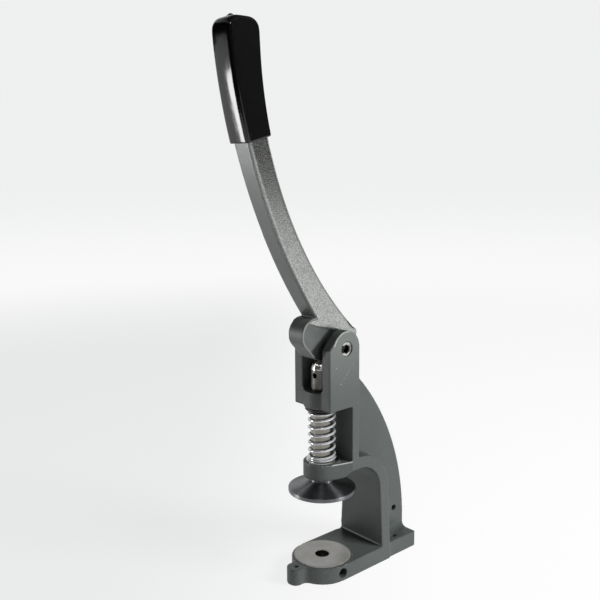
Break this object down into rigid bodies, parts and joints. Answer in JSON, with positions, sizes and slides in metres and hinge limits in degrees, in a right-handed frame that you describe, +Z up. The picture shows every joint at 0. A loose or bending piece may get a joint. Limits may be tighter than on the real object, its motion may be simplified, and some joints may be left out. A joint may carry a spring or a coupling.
{
  "type": "hand lever press",
  "caption": "Bench press for buttons, eyelets and snaps: a curved cam lever pushes a spring-returned ram with a wide foot down onto a bored anvil pad in a cast bow frame.",
  "frame": {"origin": "where the axis of the ram and of the anvil bore meets the bench", "axes": "+Z up along the ram, +X to the operator's right along the lever's pivot, -Y to the front where the work goes in"},
  "size_m": [0.059, 0.196, 0.466],
  "materials": {
    "frame_paint": "satin grey paint over a smooth casting, worn bright on a few edges",
    "lever_paint": "grey paint over a casting with a fine grainy skin",
    "ram_steel": "ground and oiled, polished at its round top",
    "black_steel": "blackened, turned, glossy",
    "spring_wire": "bright plated wire",
    "bright_steel": "bare and bright",
    "grip_vinyl": "glossy black dipped vinyl"
  },
  "bodies": {
    "frame": {"frame_casting": "frame_paint", "pivot_screw": "bright_steel", "seat_washer": "bright_steel", "return_spring": "spring_wire"},
    "ram": {"ram_rod": "ram_steel", "ram_foot": "black_steel", "snap_ring": "black_steel", "cup_washer": "black_steel"},
    "lever": {"lever_arm": "lever_paint", "grip_sleeve": "grip_vinyl"},
    "die_clamp": {"die_screw": "black_steel"}
  },
  "joints": [
    {"name": "lever_hinge", "type": "hinge", "parent": "frame", "child": "lever", "pos_m": [0, 0.0085, 0.2047], "axis": [1, 0, 0], "range_deg": [0, 78], "stiffness_Nm_per_rad": 1.5, "springref_deg": -28.65},
    {"name": "ram_slide", "type": "slide", "parent": "frame", "child": "ram", "axis": [0, 0, -1], "range_m": [0, 0.0213], "stiffness_N_per_m": 2000, "springref_m": -0.025, "deforming": ["return_spring"]},
    {"name": "die_screw_slide", "type": "slide", "parent": "frame", "child": "die_clamp", "axis": [-1, 0, 0], "range_m": [0, 0.0035]}
  ],
  "couplings": [
    {"joint": "ram_slide", "follows": "lever_hinge", "m_per_rad": 0.0156}
  ]
}
